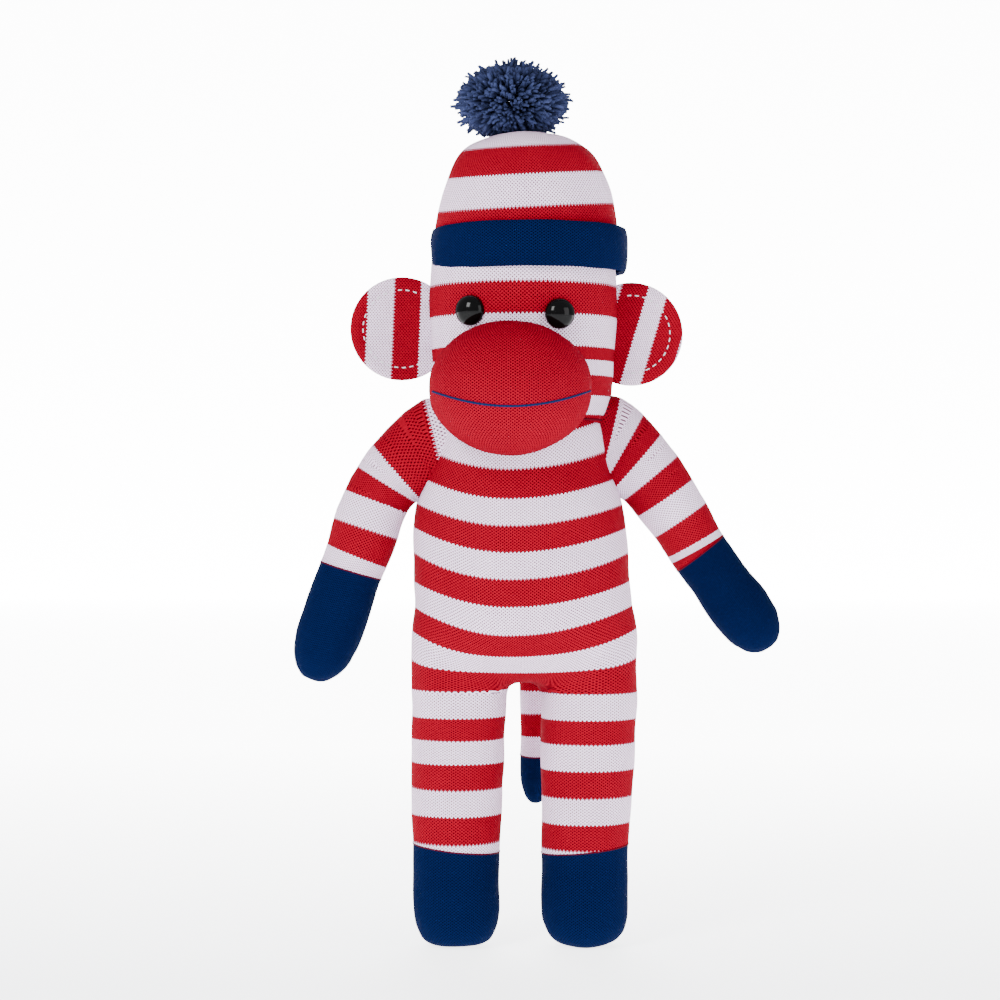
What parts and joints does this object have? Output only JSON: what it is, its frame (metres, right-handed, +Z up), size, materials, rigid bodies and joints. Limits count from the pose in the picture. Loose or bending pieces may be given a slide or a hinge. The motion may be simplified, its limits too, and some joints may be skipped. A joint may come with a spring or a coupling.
{
  "type": "stuffed monkey",
  "caption": "Standing stuffed monkey in striped knit with hanging arms and tail, round ears, pull-on knit cap and yarn pompom.",
  "frame": {"origin": "middle of the toy's footprint box, on the floor under the soles", "axes": "+Z up, toy faces -Y, its own left side is +X"},
  "size_m": [0.25, 0.1551, 0.4412],
  "materials": {
    "striped_knit": "red and white striped knit",
    "red_knit": "plain red knit",
    "navy_knit": "plain navy knit",
    "fibre_filling": "loose polyester fibre",
    "red_thread": "sewing thread",
    "navy_thread": "embroidery thread",
    "white_thread": "sewing thread",
    "eye_plastic": "glossy black",
    "washer_plastic": "moulded",
    "pompom_yarn": "cut yarn"
  },
  "bodies": {
    "torso": {"torso_skin": "striped_knit", "torso_stuffing": "fibre_filling"},
    "neck_thread": {"neck_gather_thread": "red_thread"},
    "head": {"head_skin": "striped_knit", "head_stuffing": "fibre_filling", "muzzle_skin": "red_knit", "muzzle_stuffing": "fibre_filling", "mouth_thread": "navy_thread", "right_eye": "eye_plastic", "left_eye": "eye_plastic", "right_eye_washer": "washer_plastic", "left_eye_washer": "washer_plastic", "right_ear_seam_thread": "red_thread", "left_ear_seam_thread": "red_thread"},
    "hat": {"hat_crown": "striped_knit", "hat_cuff": "navy_knit"},
    "pompom": {"pompom_yarn": "pompom_yarn", "pompom_tie": "navy_thread"},
    "tail_seam": {"tail_root_seam": "red_thread"},
    "tail": {"tail_sleeve": "striped_knit", "tail_tip_cap": "navy_knit", "tail_stuffing": "fibre_filling"},
    "right_ear": {"right_ear_front_panel": "striped_knit", "right_ear_back_panel": "striped_knit", "right_ear_topstitch": "white_thread"},
    "right_shoulder": {"right_shoulder_seam": "red_thread"},
    "right_arm": {"right_arm_sleeve": "striped_knit", "right_hand_cap": "navy_knit", "right_arm_stuffing": "fibre_filling"},
    "right_leg": {"right_leg_sleeve": "striped_knit", "right_foot_cap": "navy_knit", "right_leg_stuffing": "fibre_filling"},
    "left_ear": {"left_ear_front_panel": "striped_knit", "left_ear_back_panel": "striped_knit", "left_ear_topstitch": "white_thread"},
    "left_shoulder": {"left_shoulder_seam": "red_thread"},
    "left_arm": {"left_arm_sleeve": "striped_knit", "left_hand_cap": "navy_knit", "left_arm_stuffing": "fibre_filling"},
    "left_leg": {"left_leg_sleeve": "striped_knit", "left_foot_cap": "navy_knit", "left_leg_stuffing": "fibre_filling"}
  },
  "joints": [
    {"name": "neck_nod", "type": "hinge", "parent": "torso", "child": "neck_thread", "pos_m": [-0.0062, 0.0058, 0.277], "axis": [1, 0, 0], "range_deg": [-30, 5]},
    {"name": "neck_turn", "type": "hinge", "parent": "neck_thread", "child": "head", "pos_m": [-0.0062, 0.0058, 0.277], "axis": [0, 0, 1], "range_deg": [-20, 20]},
    {"name": "hat_lift", "type": "slide", "parent": "head", "child": "hat", "axis": [0, 0, 1], "range_m": [0, 0.085]},
    {"name": "pompom_wobble", "type": "hinge", "parent": "hat", "child": "pompom", "pos_m": [-0.0122, 0.0058, 0.4035], "axis": [0, 1, 0], "range_deg": [-20, 20], "stiffness_Nm_per_rad": 0.03},
    {"name": "tail_side", "type": "hinge", "parent": "torso", "child": "tail_seam", "pos_m": [-0.0012, 0.058, 0.166], "axis": [0, 1, 0], "range_deg": [-45, 45]},
    {"name": "tail_lift", "type": "hinge", "parent": "tail_seam", "child": "tail", "pos_m": [-0.0012, 0.058, 0.166], "axis": [-1, 0, 0], "range_deg": [-100, 0]},
    {"name": "right_arm_swing", "type": "hinge", "parent": "torso", "child": "right_shoulder", "pos_m": [-0.0672, 0.0058, 0.2405], "axis": [-1, 0, 0], "range_deg": [-50, 100]},
    {"name": "right_arm_raise", "type": "hinge", "parent": "right_shoulder", "child": "right_arm", "pos_m": [-0.0672, 0.0058, 0.2405], "axis": [0, 1, 0], "range_deg": [0, 60]},
    {"name": "right_hip", "type": "hinge", "parent": "torso", "child": "right_leg", "pos_m": [-0.0389, 0.0058, 0.14], "axis": [-1, 0, 0], "range_deg": [-18, 90]},
    {"name": "right_ear_fold", "type": "hinge", "parent": "head", "child": "right_ear", "pos_m": [-0.0555, 0.0058, 0.308], "axis": [0, 0, 1], "range_deg": [-30, 70], "stiffness_Nm_per_rad": 0.02},
    {"name": "left_arm_swing", "type": "hinge", "parent": "torso", "child": "left_shoulder", "pos_m": [0.0548, 0.0058, 0.237], "axis": [-1, 0, 0], "range_deg": [-50, 100]},
    {"name": "left_arm_raise", "type": "hinge", "parent": "left_shoulder", "child": "left_arm", "pos_m": [0.0548, 0.0058, 0.237], "axis": [0, -1, 0], "range_deg": [0, 55]},
    {"name": "left_hip", "type": "hinge", "parent": "torso", "child": "left_leg", "pos_m": [0.0265, 0.0058, 0.14], "axis": [-1, 0, 0], "range_deg": [-18, 90]},
    {"name": "left_ear_fold", "type": "hinge", "parent": "head", "child": "left_ear", "pos_m": [0.0431, 0.0058, 0.3053], "axis": [0, 0, -1], "range_deg": [-30, 70], "stiffness_Nm_per_rad": 0.02}
  ]
}
